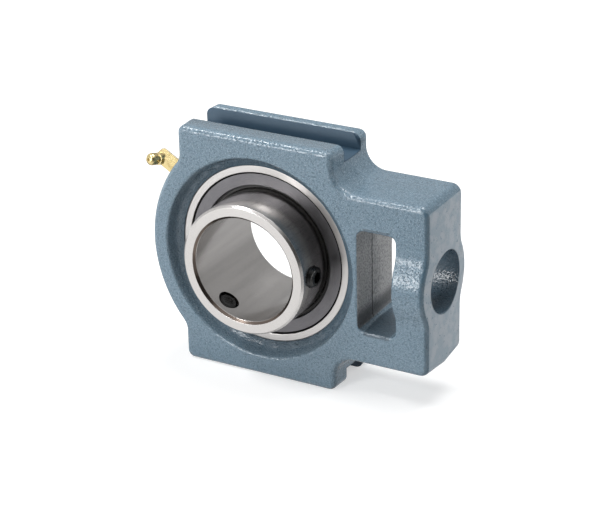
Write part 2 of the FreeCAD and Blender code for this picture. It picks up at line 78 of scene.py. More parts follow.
NODE_WELD = 1e-6

Point = tuple[float, float]
Triple = tuple[float, float, float]
Socket = bpy.types.NodeSocket
Setting = float | int | tuple[float, ...] | Socket


class Lay(Enum):
    """Direction of the marks that a tool leaves on metal."""

    ROUND = "round the shaft"
    EVEN = "the same every way"


class Side(Enum):
    """Side of the insert, as its way along the shaft."""

    FRONT = -1
    REAR = 1


class NodeTree:
    """A node tree whose nodes are added one by one."""

    SEEING_RAYS = ("Is Camera Ray", "Is Glossy Ray", "Is Transmission Ray")

    def __init__(self, tree: bpy.types.NodeTree) -> None:
        """Keep the tree that the nodes go into."""
        self.tree = tree

    def node(
        self, kind: str, inputs: dict[str | int, Setting], **settings: object
    ) -> bpy.types.Node:
        """Add one node.

        Args:
            kind: The node's type.
            inputs: A value or another node's output for each named or numbered input.
            settings: The node's own properties.

        Returns:
            The new node.
        """
        made = self.tree.nodes.new(kind)
        for name, value in settings.items():
            setattr(made, name, value)
        for socket, value in inputs.items():
            self.feed(made.inputs[socket], value)
        return made

    def feed(self, socket: Socket, value: Setting) -> None:
        """Link a node's output to a socket, or write a plain value there.

        Args:
            socket: The input that gets it.
            value: The output or the plain value.
        """
        if isinstance(value, Socket):
            self.tree.links.new(value, socket)
        else:
            socket.default_value = value

    def math(self, operation: str, *values: Setting) -> Socket:
        """Add one sum.

        Args:
            operation: What is done.
            values: Up to three values.

        Returns:
            The sum's result.
        """
        inputs = dict(enumerate(values))
        return self.node("ShaderNodeMath", inputs, operation=operation).outputs[0]

    def chain(self, operation: str, first: Setting, *others: Setting) -> Socket:
        """Do the same sum on any number of values.

        Args:
            operation: What is done.
            first: The first value.
            others: The other values, in order.

        Returns:
            The last result.
        """
        for other in others:
            first = self.math(operation, first, other)
        return first

    def product(self, *factors: Setting) -> Socket:
        """Product of several factors, which is one where all of them are one."""
        return self.chain("MULTIPLY", *factors)

    def greatest(self, *factors: Setting) -> Socket:
        """Greatest of several factors."""
        return self.chain("MAXIMUM", *factors)

    def seen(self) -> Socket:
        """One for each ray that shows what it meets, and nought for one that only lights."""
        rays = self.node("ShaderNodeLightPath", {}).outputs
        return self.greatest(*(rays[name] for name in self.SEEING_RAYS))


class Shader(NodeTree):
    """A material whose nodes are added one by one."""

    def __init__(self, name: str) -> None:
        """Start an empty material that reads Object coordinates.

        Args:
            name: The material's name.
        """
        self.material = bpy.data.materials.new(name)
        self.material.use_nodes = True
        super().__init__(self.material.node_tree)
        self.tree.nodes.clear()
        self.output = self.tree.nodes.new("ShaderNodeOutputMaterial")
        self.coordinates = self.tree.nodes.new("ShaderNodeTexCoord")
        self.place = self.coordinates.outputs["Object"]
        self.facing = self.coordinates.outputs["Normal"]

    def noise(self, size: float, detail: float = 3.0, place: Socket | None = None) -> Socket:
        """Soft noise from 0 to 1, with spots up to a size and with layers of finer ones."""
        inputs = {"Vector": place or self.place, "Scale": 1 / size, "Detail": detail}
        return self.node("ShaderNodeTexNoise", inputs).outputs[0]

    def cells(self, size: float, smoothness: float = 0.6) -> Socket:
        """Distance to the middle of the nearest of many rounded cells.

        Args:
            size: Width of a cell, in metres.
            smoothness: How softly the cells flow together.

        Returns:
            The distance, in cells.
        """
        inputs = {"Vector": self.place, "Scale": 1 / size, "Smoothness": smoothness}
        made = self.node("ShaderNodeTexVoronoi", inputs, feature="SMOOTH_F1")
        return made.outputs["Distance"]

    def ramp(
        self, value: Setting, start: float, end: float, low: float = 0.0, high: float = 1.0
    ) -> Socket:
        """Turn a value into one that goes smoothly from low to high.

        Args:
            value: The value that is read.
            start: Where the result starts to leave low.
            end: Where the result reaches high.
            low: Result up to the start.
            high: Result from the end on.

        Returns:
            The result.
        """
        inputs = {0: value, 1: start, 2: end, 3: low, 4: high}
        made = self.node("ShaderNodeMapRange", inputs, interpolation_type="SMOOTHSTEP")
        return made.outputs[0]

    def mix(self, factor: Setting, first: Socket | Triple, second: Socket | Triple) -> Socket:
        """Mix two colours.

        Args:
            factor: Share of the second.
            first: The first colour.
            second: The second colour.

        Returns:
            The mixed colour.
        """
        made = self.node("ShaderNodeMix", {0: factor}, data_type="RGBA")
        for index, colour in ((6, first), (7, second)):
            self.feed(made.inputs[index], colour if isinstance(colour, Socket) else (*colour, 1.0))
        return made.outputs[2]

    def blend(self, factor: Setting, first: Setting, second: Setting) -> Socket:
        """Number between two numbers, by the share of the second."""
        return self.node("ShaderNodeMix", {0: factor, 2: first, 3: second}).outputs[0]

    def parts(self, vector: Socket) -> tuple[Socket, ...]:
        """The three parts of a vector."""
        return tuple(self.node("ShaderNodeSeparateXYZ", {0: vector}).outputs)

    def joined(self, **parts: Setting) -> Socket:
        """Vector from its parts, named x, y and z, with nought for a part left out."""
        inputs = {"xyz".index(name): value for name, value in parts.items()}
        return self.node("ShaderNodeCombineXYZ", inputs).outputs[0]

    def length(self, vector: Socket) -> Socket:
        """Length of a vector."""
        return self.node("ShaderNodeVectorMath", {0: vector}, operation="LENGTH").outputs["Value"]

    def distance(self, first: Setting, second: Setting) -> Socket:
        """Distance from an axis, from the two coordinates across it."""
        return self.length(self.joined(x=first, y=second))

    def round_place(self, stretch: float) -> Socket:
        """Coordinates wound round the shaft's axis.

        Args:
            stretch: Length that marks have round the shaft for one of width, as a share.

        Returns:
            Radius, place along the shaft and stretched turn, as a vector.
        """
        x, y, z = self.parts(self.place)
        turn = self.math("MULTIPLY", self.math("ARCTAN2", z, x), stretch)
        return self.joined(x=self.distance(x, z), y=y, z=turn)

    def bump(self, height: Setting, depth: float, below: Socket | None = None) -> Socket:
        """Relief from a height.

        Args:
            height: The height, from 0 to 1.
            depth: Depth of the relief, in metres.
            below: A coarser relief that this one lies on.

        Returns:
            The bent surface direction.
        """
        inputs = {"Height": height, "Distance": depth, "Strength": 1.0}
        if below is not None:
            inputs["Normal"] = below
        return self.node("ShaderNodeBump", inputs).outputs[0]

    def surface(self, **inputs: Setting) -> bpy.types.Material:
        """Finish the material with a surface, each of whose inputs is named with underscores."""
        named = {name.replace("_", " "): value for name, value in inputs.items()}
        return self.closed(self.node("ShaderNodeBsdfPrincipled", named))

    def closed(self, last: bpy.types.Node) -> bpy.types.Material:
        """Link the node that gives the surface to the output, which finishes the material."""
        self.tree.links.new(last.outputs[0], self.output.inputs["Surface"])
        return self.material


@dataclass(frozen=True)
class Fade:
    """Factor that goes smoothly from low to high while a value goes from start to end."""

    start: float
    end: float
    low: float = 0.0
    high: float = 1.0

    def of(self, shader: Shader, value: Setting) -> Socket:
        """The factor for a value."""
        return shader.ramp(value, self.start, self.end, self.low, self.high)


@dataclass(frozen=True)
class Stripe:
    """Factor of one for values near a centre and of nought beyond a soft border."""

    centre: float
    half: float
    soft: float

    def of(self, shader: Shader, value: Setting) -> Socket:
        """The factor for a value."""
        away = shader.math("ABSOLUTE", shader.math("SUBTRACT", value, self.centre))
        return shader.ramp(away, self.half, self.half + self.soft, 1.0, 0.0)


def overlap(shader: Shader, *tests: tuple[Fade | Stripe, Socket]) -> Socket:
    """Find where several fades and stripes hold together.

    Args:
        shader: The material that needs it.
        tests: Each fade or stripe with the value that it is for.

    Returns:
        The product of their factors.
    """
    return shader.product(*(test.of(shader, value) for test, value in tests))


@dataclass(frozen=True)
class Spots:
    """Noise that is cut to soft spots."""

    size: float
    detail: float
    start: float
    end: float
    low: float = 0.0
    high: float = 1.0

    def on(self, shader: Shader, place: Socket | None = None) -> Socket:
        """A value that is low between the spots and high on them."""
        noise = shader.noise(self.size, self.detail, place)
        return shader.ramp(noise, self.start, self.end, self.low, self.high)


@dataclass(frozen=True)
class PaintZones:
    """Where the casting isn't plainly painted or has shade painted into its colour, each as a
    factor from 0 to 1.
    """

    end_face: Socket
    end_round: Socket
    groove: Socket
    wall: Socket
    seam: Socket
    dish_shade: Socket
    inside: Socket


@dataclass(frozen=True)
class HammeredPaint:
    """Blue-grey hammered paint on rough cast iron."""

    colour: Triple = (0.14, 0.213, 0.272)
    pale: Triple = (0.25, 0.34, 0.41)
    dark: Triple = (0.095, 0.156, 0.208)
    thin: Triple = (0.27, 0.33, 0.38)
    worn: Triple = (0.37, 0.405, 0.44)
    # Smooth paint in the groove, darkened further with painted shade where the lips keep the light
    # out.
    smooth: Triple = (0.02, 0.055, 0.093)
    # Painted shade for the recess round the bearing seat, the window's ends and the screw hole.
    shaded: Triple = (0.06, 0.088, 0.115)
    # Painted shade for the rounded edge between the front and end faces, which turns away from the
    # lamps.
    painted_edge_shade: Triple = (0.06, 0.115, 0.16)
    bare: Triple = (0.46, 0.45, 0.445)
    # Rusty iron in patches on the bare wall, and also painted shadow on its lower part.
    rust_and_shadow: Triple = (0.07, 0.066, 0.064)
    line: Triple = (0.012, 0.012, 0.013)
    mottle: Spots = Spots(1.1 * MM, 3.0, 0.35, 0.55, 0.3, 1.0)
    speckle: Spots = Spots(0.5 * MM, 2.0, 0.52, 0.66, 0.0, 0.75)
    patches: Spots = Spots(5.0 * MM, 6.0, 0.42, 0.6, 0.0, 0.75)
    rubbing: Spots = Spots(0.5 * MM, 2.0, 0.5, 0.8, 0.0, 0.35)
    pits: Spots = Spots(1.4 * MM, 1.0, 0.27, 0.33, 0.8, 0.0)
    scale: Spots = Spots(0.9 * MM, 4.0, 0.38, 0.58, 0.45, 1.0)
    flecks: Spots = Spots(0.95 * MM, 2.0, 0.57, 0.68)
    gloss: Spots = Spots(1.1 * MM, 3.0, 0.3, 0.7, 0.08, 0.16)
    dull: float = 0.6
    refraction: float = 1.55
    dimple: float = 0.95 * MM
    dimple_round: Fade = Fade(0.1, 0.75)
    dimple_share: float = 0.6
    grit: float = 0.5 * MM
    grit_share: float = 0.4
    relief: float = 0.115 * MM
    fleck_relief: float = 0.26 * MM
    swell: float = 6.0 * MM
    swell_relief: float = 0.15 * MM
    relief_detail: float = 2.0
    end_face: Fade = Fade(83.5 * MM, 85.0 * MM)
    end_face_facing: Fade = Fade(0.9, 0.985)
    end_face_calm: float = 0.7
    # Where shade is painted along the rounded edge between the front and end faces, picked out by
    # how the surface faces.
    end_round: Fade = Fade(81.0 * MM, 82.0 * MM)
    end_round_facing: Stripe = Stripe(0.62, 0.1, 0.38)
    end_round_sideways: Fade = Fade(0.1, 0.5, 0.3, 1.0)
    end_round_share: float = 0.75
    groove_width: Stripe = Stripe(0.0, 8.1 * MM, 0.1 * MM)
    groove_floor: Fade = Fade(50.5 * MM, 50.8 * MM)
    # Painted shade in the recess round the bearing seat, darkest next to the ring.
    dish_shade: Fade = Fade(46.0 * MM, 50.0 * MM, 0.6, 0.0)
    wall: Stripe = Stripe(52.5 * MM, 2.0 * MM, 0.6 * MM)
    wall_facing: Fade = Fade(0.6, 0.9)
    wall_height: Stripe = Stripe(0.0, 24.6 * MM, 0.4 * MM)
    bare_share: float = 0.9
    # Painted shadow: the bare window wall gets darker towards its bottom.
    wall_shadow_height: Fade = Fade(-19.0 * MM, -12.0 * MM, 0.06, 1.0)
    # The window's top and bottom walls and the inside of the screw hole get painted shade.
    window: Stripe = Stripe(60.5 * MM, 6.0 * MM, 1.0 * MM)
    window_ends: Stripe = Stripe(24.6 * MM, 1.4 * MM, 0.3 * MM)
    hole: Fade = Fade(14.8 * MM, 15.0 * MM, 1.0, 0.0)
    hole_depth: Fade = Fade(67.0 * MM, 68.0 * MM)
    inside_shade_share: float = 0.7
    parting_y: float = -1.5 * MM
    seam: Stripe = Stripe(-5.2 * MM, 0.2 * MM, 0.3 * MM)
    seam_wander: float = 0.8 * MM
    seam_wave: float = 3.0 * MM

    def zones(self, shader: Shader) -> PaintZones:
        """Find the casting's special places from where a point is and how it faces.

        Args:
            shader: The material that needs them.

        Returns:
            A factor for each of them.
        """
        x, y, z = shader.parts(shader.place)
        facing_x, facing_y, _ = shader.parts(shader.facing)
        high = shader.math("ABSOLUTE", z)
        sideways = shader.math("ABSOLUTE", facing_y)
        from_screw = shader.distance(shader.math("SUBTRACT", y, self.parting_y), z)
        wave = shader.math("MULTIPLY_ADD", shader.noise(self.seam_wave), self.seam_wander, y)
        wall = overlap(
            shader, (self.wall, x), (self.wall_facing, facing_x), (self.wall_height, high)
        )
        # painted shade at the window's ends and inside the screw hole
        window_ends = overlap(shader, (self.window, x), (self.window_ends, high))
        hole = overlap(shader, (self.hole, from_screw), (self.hole_depth, x))
        return PaintZones(
            end_face=overlap(shader, (self.end_face, x), (self.end_face_facing, facing_x)),
            end_round=overlap(
                shader,
                (self.end_round, x),
                (self.end_round_facing, facing_x),
                (self.end_round_sideways, sideways),
            ),
            groove=overlap(shader, (self.groove_width, y), (self.groove_floor, high)),
            wall=wall,
            seam=shader.product(wall, self.seam.of(shader, wave)),
            dish_shade=self.dish_shade.of(shader, shader.distance(x, z)),
            inside=shader.greatest(window_ends, hole),
        )

    def tint(self, shader: Shader, zones: PaintZones) -> Socket:
        """Colour of the paint by zone: thin, worn off or bare, with painted shade on the end edge,
        in the groove and other recesses, and low on the window wall.

        Args:
            shader: The material that gets it.
            zones: The casting's special places.

        Returns:
            The colour.
        """
        thin = shader.mix(self.patches.on(shader), self.thin, self.worn)
        thin = shader.mix(self.rubbing.on(shader), thin, self.worn)
        thin = shader.mix(self.pits.on(shader), thin, self.dark)
        # painted shadow on the lower part of the window wall
        above_wall_shadow = self.wall_shadow_height.of(shader, shader.parts(shader.place)[2])
        clean = shader.product(self.scale.on(shader), above_wall_shadow)
        bare = shader.mix(clean, self.rust_and_shadow, self.bare)
        colour = shader.mix(self.mottle.on(shader), self.dark, self.colour)
        layers = (
            (self.speckle.on(shader), self.pale),
            # painted shade along the rounded end edge
            (shader.product(zones.end_round, self.end_round_share), self.painted_edge_shade),
            (zones.end_face, thin),
            # smooth groove paint, darkened with painted shade
            (zones.groove, self.smooth),
            # painted shade in the recess round the bearing seat
            (zones.dish_shade, self.shaded),
            # painted shade at the window's ends and in the screw hole
            (shader.product(zones.inside, self.inside_shade_share), self.shaded),
            (shader.product(zones.wall, self.bare_share), bare),
            (zones.seam, self.line),
        )
        for share, layer in layers:
            colour = shader.mix(share, colour, layer)
        return colour

    def hammering(self, shader: Shader, zones: PaintZones) -> Socket:
        """Relief of the paint: a wide swell, dimples with grit, and raised flecks.

        Args:
            shader: The material that gets it.
            zones: The casting's special places, some of which are smooth.

        Returns:
            The bent surface direction.
        """
        calm = shader.greatest(zones.groove, shader.product(zones.end_face, self.end_face_calm))
        rough = shader.math("SUBTRACT", 1.0, calm)
        dimples = self.dimple_round.of(shader, shader.cells(self.dimple))
        height = shader.product(dimples, self.dimple_share)
        grit = shader.noise(self.grit, self.relief_detail)
        height = shader.math("MULTIPLY_ADD", grit, self.grit_share, height)
        flecks = shader.product(self.flecks.on(shader), rough)
        swell = shader.noise(self.swell, self.relief_detail)
        normal = shader.bump(swell, self.swell_relief)
        normal = shader.bump(shader.product(height, rough), self.relief, normal)
        return shader.bump(flecks, self.fleck_relief, normal)

    def build(self) -> bpy.types.Material:
        """Make the paint.

        Returns:
            The material of the casting.
        """
        shader = Shader("hammered_paint")
        zones = self.zones(shader)
        worn = shader.greatest(zones.wall, zones.groove, zones.end_face)
        return shader.surface(
            Base_Color=self.tint(shader, zones),
            Roughness=shader.blend(worn, self.gloss.on(shader), self.dull),
            Normal=self.hammering(shader, zones),
            IOR=self.refraction,
        )


@dataclass(frozen=True)
class Ringmark:
    """Dark line round the shaft's axis on a turned piece."""

    radius: Stripe
    colour: Triple


@dataclass(frozen=True)
class LengthwiseWear:
    """Streaks and scuffs along the shaft on a ring's round sides."""

    side_facing: Fade = Fade(0.5, 0.9, 1.0, 0.0)
    outside: Fade = Fade(30.0 * MM, 31.0 * MM)
    darkening: float = 0.98
    squeeze: float = 0.1
    streaks: Spots = Spots(9.0 * MM, 2.0, 0.35, 0.65, 0.0, 0.4)
    streaked: Triple = (0.36, 0.35, 0.345)
    scuffs: Spots = Spots(0.7 * MM, 2.0, 0.5, 0.72, 0.0, 0.35)
    scuffed: Triple = (0.12, 0.12, 0.12)

    def lay_on(self, shader: Shader, colour: Socket, base: Socket) -> Socket:
        """Wear a ring's round sides.

        Args:
            shader: The ring's material.
            colour: Its colour before.
            base: The darker colour of its outside.

        Returns:
            Its colour after.
        """
        x, y, z = shader.parts(shader.place)
        along = shader.math("ABSOLUTE", shader.parts(shader.facing)[1])
        sides = self.side_facing.of(shader, along)
        outside = shader.product(sides, self.outside.of(shader, shader.distance(x, z)))
        arc = shader.product(shader.math("ARCTAN2", z, x), self.outside.start)
        lengthwise = shader.joined(x=arc, y=shader.product(y, self.squeeze))
        layers = (
            (outside, base),
            (shader.product(sides, self.streaks.on(shader, lengthwise)), self.streaked),
            (shader.product(outside, self.scuffs.on(shader, lengthwise)), self.scuffed),
        )
        for share, layer in layers:
            colour = shader.mix(share, colour, layer)
        return colour


@dataclass(frozen=True)
class WorkedSteel:
    """Steel as grinding, lapping, blacking or pressing leaves it."""

    name: str
    colour: Triple
    shade: Triple
    lay: Lay = Lay.ROUND
    mark: float = 0.12 * MM
    relief: float = 0.004 * MM
    roughness: Fade = Fade(0.3, 0.7, 0.22, 0.36)
    ringmark: Ringmark | None = None
    wear: LengthwiseWear | None = None
    stretch: float = 0.0
    contrast: Fade = Fade(0.3, 0.7)
    cloud: float = 5.0 * MM
    clouding: Fade = Fade(0.45, 0.75, 0.0, 0.3)
    cloud_share: float = 0.35
    winding: float = 0.0015

    def across_marks(self, shader: Shader) -> Socket:
        """Direction across the marks that run round the shaft.

        Args:
            shader: The material that needs it.

        Returns:
            The direction in the world's axes.
        """
        x, _, z = shader.parts(shader.place)
        round_way = shader.joined(x=shader.product(z, -1.0), z=x)
        across: Socket = shader.facing
        for operation, inputs in (("CROSS_PRODUCT", {1: round_way}), ("NORMALIZE", {})):
            made = shader.node("ShaderNodeVectorMath", {0: across, **inputs}, operation=operation)
            across = made.outputs[0]
        turned = {"vector_type": "VECTOR", "convert_from": "OBJECT", "convert_to": "WORLD"}
        return shader.node("ShaderNodeVectorTransform", {0: across}, **turned).outputs[0]

    def build(self) -> bpy.types.Material:
        """Make the steel.

        Returns:
            A metal with fine tool marks and uneven shine.
        """
        shader = Shader(self.name)
        wound = shader.round_place(self.winding)
        radius = shader.parts(wound)[0]
        marks = shader.noise(self.mark, place=wound if self.lay is Lay.ROUND else shader.place)
        cloud = shader.noise(self.cloud)
        colour = shader.mix(self.contrast.of(shader, marks), self.shade, self.colour)
        colour = shader.mix(self.clouding.of(shader, cloud), colour, self.shade)
        if self.wear is not None:
            darker = tuple(part * self.wear.darkening for part in self.colour)
            base = shader.mix(marks, darker, self.shade)
            colour = self.wear.lay_on(shader, colour, base)
        if self.ringmark is not None:
            share = self.ringmark.radius.of(shader, radius)
            colour = shader.mix(share, colour, self.ringmark.colour)
        uneven = shader.product(marks, 1.0 - self.cloud_share)
        uneven = shader.math("MULTIPLY_ADD", cloud, self.cloud_share, uneven)
        inputs = {
            "Base_Color": colour,
            "Roughness": self.roughness.of(shader, uneven),
            "Normal": shader.bump(marks, self.relief),
        }
        if self.stretch > 0.0:
            inputs["Tangent"] = self.across_marks(shader)
        return shader.surface(Metallic=1.0, Anisotropic=self.stretch, **inputs)


@dataclass(frozen=True)
class TurnedBrass:
    """Bright turned brass with duller hollows."""

    colour: Triple = (0.6, 0.49, 0.25)
    shade: Triple = (0.4, 0.31, 0.13)
    hollows: Spots = Spots(2.0 * MM, 2.0, 0.45, 0.75, 0.0, 0.7)
    mark: float = 0.3 * MM
    relief: float = 0.004 * MM
    roughness: Fade = Fade(0.3, 0.7, 0.16, 0.3)

    def build(self) -> bpy.types.Material:
        """Make the brass.

        Returns:
            The material of the grease nipple.
        """
        shader = Shader("turned_brass")
        marks = shader.noise(self.mark)
        return shader.surface(
            Base_Color=shader.mix(self.hollows.on(shader), self.colour, self.shade),
            Roughness=self.roughness.of(shader, marks),
            Normal=shader.bump(marks, self.relief),
            Metallic=1.0,
        )


@dataclass(frozen=True)
class NitrileRubber:
    """Matt black seal rubber."""

    colour: Triple = (0.018, 0.018, 0.018)
    shade: Triple = (0.035, 0.034, 0.033)
    grain: float = 0.4 * MM
    relief: float = 0.02 * MM
    roughness: Fade = Fade(0.3, 0.7, 0.5, 0.7)

    def build(self) -> bpy.types.Material:
        """Make the rubber.

        Returns:
            The material of the seal lips.
        """
        shader = Shader("nitrile_rubber")
        grain = shader.noise(self.grain)
        return shader.surface(
            Base_Color=shader.mix(grain, self.colour, self.shade),
            Roughness=self.roughness.of(shader, grain),
            Normal=shader.bump(grain, self.relief),
        )


@dataclass(frozen=True)
class Finishes:
    """Every finish of the unit, built once."""

    paint: bpy.types.Material
    ring: bpy.types.Material
    race: bpy.types.Material
    shield: bpy.types.Material
    black: bpy.types.Material
    lapped: bpy.types.Material
    pressed: bpy.types.Material
    brass: bpy.types.Material
    rubber: bpy.types.Material

    @classmethod
    def make(cls) -> "Finishes":
        """Build them all.

        Returns:
            The finishes.
        """
        steels = {
            "ring": WorkedSteel(
                "ground_steel",
                (0.53, 0.514, 0.503),
                (0.485, 0.47, 0.458),
                mark=0.1 * MM,
                relief=0.001 * MM,
                roughness=Fade(0.3, 0.7, 0.2, 0.27),
                ringmark=Ringmark(Stripe(25.65 * MM, 0.5 * MM, 0.08 * MM), (0.13, 0.105, 0.09)),
                wear=LengthwiseWear(),
                stretch=0.2,
            ),
            "race": WorkedSteel(
                "outer_ring_steel",
                (0.5, 0.487, 0.478),
                (0.45, 0.437, 0.428),
                mark=0.1 * MM,
                relief=0.001 * MM,
                roughness=Fade(0.3, 0.7, 0.28, 0.35),
            ),
            "shield": WorkedSteel(
                "dark_sheet_steel",
                (0.155, 0.152, 0.16),
                (0.12, 0.117, 0.124),
                roughness=Fade(0.3, 0.7, 0.3, 0.45),
                # Painted shade in the gap between the shield's rim and the outer ring.
                ringmark=Ringmark(Stripe(39.75 * MM, 0.75 * MM, 0.15 * MM), (0.005, 0.005, 0.005)),
            ),
            "black": WorkedSteel(
                "black_steel",
                (0.06, 0.06, 0.06),
                (0.035, 0.035, 0.035),
                lay=Lay.EVEN,
                mark=0.4 * MM,
                relief=0.01 * MM,
            ),
            "lapped": WorkedSteel(
                "lapped_steel",
                (0.75, 0.75, 0.75),
                (0.7, 0.7, 0.7),
                lay=Lay.EVEN,
                roughness=Fade(0.3, 0.7, 0.06, 0.12),
            ),
            "pressed": WorkedSteel(
                "pressed_steel", (0.55, 0.55, 0.54), (0.42, 0.42, 0.41), lay=Lay.EVEN
            ),
        }
        return cls(
            paint=HammeredPaint().build(),
            brass=TurnedBrass().build(),
            rubber=NitrileRubber().build(),
            **{use: steel.build() for use, steel in steels.items()},
        )


@dataclass(frozen=True)
class Corner:
    """Corner of a turned outline, in metres."""

    radius: float
    along: float
    rounding: float = 0.0

    def spot(self) -> Vector:
        """Where the corner is, as radius and place along the axis."""
        return Vector((self.radius, self.along))


def rounded_outline(corners: list[Corner], steps: int = ROUNDING_STEPS) -> list[Point]:
    """Put an arc in place of each rounded corner, inside the nearer half of its sides.

    Args:
        corners: The corners of a closed outline, in order.
        steps: Straight pieces in each arc.

    Returns:
        The outline's points, as radius and place along the axis.
    """
    points: list[Point] = []
    for i, corner in enumerate(corners):
        here = corner.spot()
        if corner.rounding == 0.0:
            points.append((here.x, here.y))
            continue
        back = corners[i - 1].spot() - here
        on = corners[(i + 1) % len(corners)].spot() - here
        half = back.angle(on) / 2
        longest = LONGEST_CUT * min(back.length, on.length)
        length = min(corner.rounding / math.tan(half), longest)
        inwards = (back.normalized() + on.normalized()).normalized()
        centre = here + inwards * (length * math.tan(half) / math.sin(half))
        start = here + back.normalized() * length - centre
        end = here + on.normalized() * length - centre
        sweep = start.angle_signed(end)
        for step in range(steps + 1):
            spoke = start.copy()
            spoke.rotate(Matrix.Rotation(-sweep * step / steps, 2))
            points.append((centre.x + spoke.x, centre.y + spoke.y))
    return points


def spread(start: float, end: float, steps: int) -> list[float]:
    """Numbers from start to end in equal steps."""
    return [start + (end - start) * i / steps for i in range(steps + 1)]


def arc_corners(
    centre_radius: float, radius: float, middle_deg: float, reach: float
) -> list[Corner]:
    """Corners along a race's arc, which is centred half way along the outline's axis.

    Args:
        centre_radius: Distance of the arc's centre from the axis.
        radius: The arc's radius.
        middle_deg: Direction of the arc's middle, seen from its centre.
        reach: Turn from that middle to each end, in degrees.

    Returns:
        The corners, from the arc's upper end to its lower one.
    """
    degrees = spread(middle_deg + reach, middle_deg - reach, RACE_STEPS)
    turns = [math.radians(turn) for turn in degrees]
    return [Corner(centre_radius + radius * math.cos(t), radius * math.sin(t)) for t in turns]


def closed_mesh(name: str, shape: bmesh.types.BMesh) -> bpy.types.Mesh:
    """Turn a shape's faces outwards and keep it as a mesh.

    Args:
        name: The mesh's name.
        shape: A closed shape, which is freed.

    Returns:
        The mesh.
    """
    bmesh.ops.recalc_face_normals(shape, faces=shape.faces)
    return kept_mesh(name, shape)


def kept_mesh(name: str, shape: bmesh.types.BMesh) -> bpy.types.Mesh:
    """Keep a shape as a mesh, and free the shape.

    Args:
        name: The mesh's name.
        shape: The shape.

    Returns:
        The mesh.
    """
    mesh = bpy.data.meshes.new(name)
    shape.to_mesh(mesh)
    shape.free()
    return mesh


def turned_mesh(name: str, outline: list[Point], segments: int, place: Matrix) -> bpy.types.Mesh:
    """Revolve a closed outline about an axis.

    Args:
        name: The mesh's name.
        outline: Points as radius and place along the axis.
        segments: Steps round the axis.
        place: Where the turned piece goes, its own axis being local Z.

    Returns:
        A closed mesh with its faces outwards.
    """
    shape = bmesh.new()
    rings = []
    for step in range(segments):
        turn = 2 * math.pi * step / segments
        spots = [Vector((r * math.cos(turn), r * math.sin(turn), a)) for r, a in outline]
        rings.append([shape.verts.new(place @ spot) for spot in spots])
    for i, ring in enumerate(rings):
        following = rings[(i + 1) % segments]
        for j in range(len(outline)):
            k = (j + 1) % len(outline)
            shape.faces.new((ring[j], following[j], following[k], ring[k]))
    bmesh.ops.remove_doubles(shape, verts=shape.verts, dist=TURNED_WELD)
    return closed_mesh(name, shape)


def prism_mesh(
    name: str, sides: int, corner: float, start: float, end: float, place: Matrix
) -> bpy.types.Mesh:
    """Prism along local Z with a flat towards local X.

    Args:
        name: The mesh's name.
        sides: Number of sides.
        corner: Distance of the corners from the axis.
        start: Lower end.
        end: Upper end.
        place: Where it goes.

    Returns:
        A closed mesh.
    """
    shape = bmesh.new()
    turns = [2 * math.pi * (i + 0.5) / sides for i in range(sides)]
    loops = []
    for height in (start, end):
        spots = [Vector((corner * math.cos(t), corner * math.sin(t), height)) for t in turns]
        loops.append([shape.verts.new(place @ spot) for spot in spots])
        shape.faces.new(loops[-1])
    for i in range(sides):
        j = (i + 1) % sides
        shape.faces.new((loops[0][i], loops[0][j], loops[1][j], loops[1][i]))
    return closed_mesh(name, shape)


def cut_mesh(mesh: bpy.types.Mesh, tools: list[bpy.types.Mesh]) -> bpy.types.Mesh:
    """Cut tools out of a mesh.

    Args:
        mesh: What is cut.
        tools: Closed meshes that are taken away.

    Returns:
        The mesh with the openings in it.
    """
    target = bpy.data.objects.new("cut_target", mesh)
    bpy.context.scene.collection.objects.link(target)
    cutters = []
    for tool in tools:
        cutter = bpy.data.objects.new("cut_tool", tool)
        bpy.context.scene.collection.objects.link(cutter)
        modifier = target.modifiers.new("cut", "BOOLEAN")
        modifier.operation = "DIFFERENCE"
        modifier.solver = "EXACT"
        modifier.object = cutter
        cutters.append(cutter)
    evaluated = target.evaluated_get(bpy.context.evaluated_depsgraph_get())
    result = bpy.data.meshes.new_from_object(evaluated)
    for spare in (target, *cutters):
        bpy.data.objects.remove(spare)
    return result


def merged_copy(node: str) -> bpy.types.Mesh:
    """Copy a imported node's mesh and join its loose triangles.

    Args:
        node: The node's name.

    Returns:
        The copy.
    """
    shape = bmesh.new()
    shape.from_mesh(frame["nodes"][node].data)
    bmesh.ops.remove_doubles(shape, verts=shape.verts, dist=NODE_WELD)
    return kept_mesh(node + "_copy", shape)


def joined_mesh(name: str, meshes: list[bpy.types.Mesh]) -> bpy.types.Mesh:
    """Put several meshes into one.

    Args:
        name: Name of the result.
        meshes: The meshes that are put together.

    Returns:
        One mesh with all their faces.
    """
    shape = bmesh.new()
    for mesh in meshes:
        shape.from_mesh(mesh)
    return kept_mesh(name, shape)


def along_shaft() -> Matrix:
    """Turn that lays local Z along the shaft, towards the back."""
    return Matrix.Rotation(math.radians(-90), 4, "X")


def on_radius(angle_deg: float, along: float) -> Matrix:
    """Place with local Z outwards along a radius and local X towards the front.

    Args:
        angle_deg: Direction of the radius round the shaft, from the end with the screw's hole.
        along: Where the radius meets the shaft's axis.

    Returns:
        The place as a matrix.
    """
    turn = math.radians(angle_deg)
    outwards = Vector((math.cos(turn), 0.0, math.sin(turn)))
    front = Vector((0.0, -1.0, 0.0))
    basis = Matrix((front, outwards.cross(front), outwards)).transposed().to_4x4()
    return Matrix.Translation((0.0, along, 0.0)) @ basis


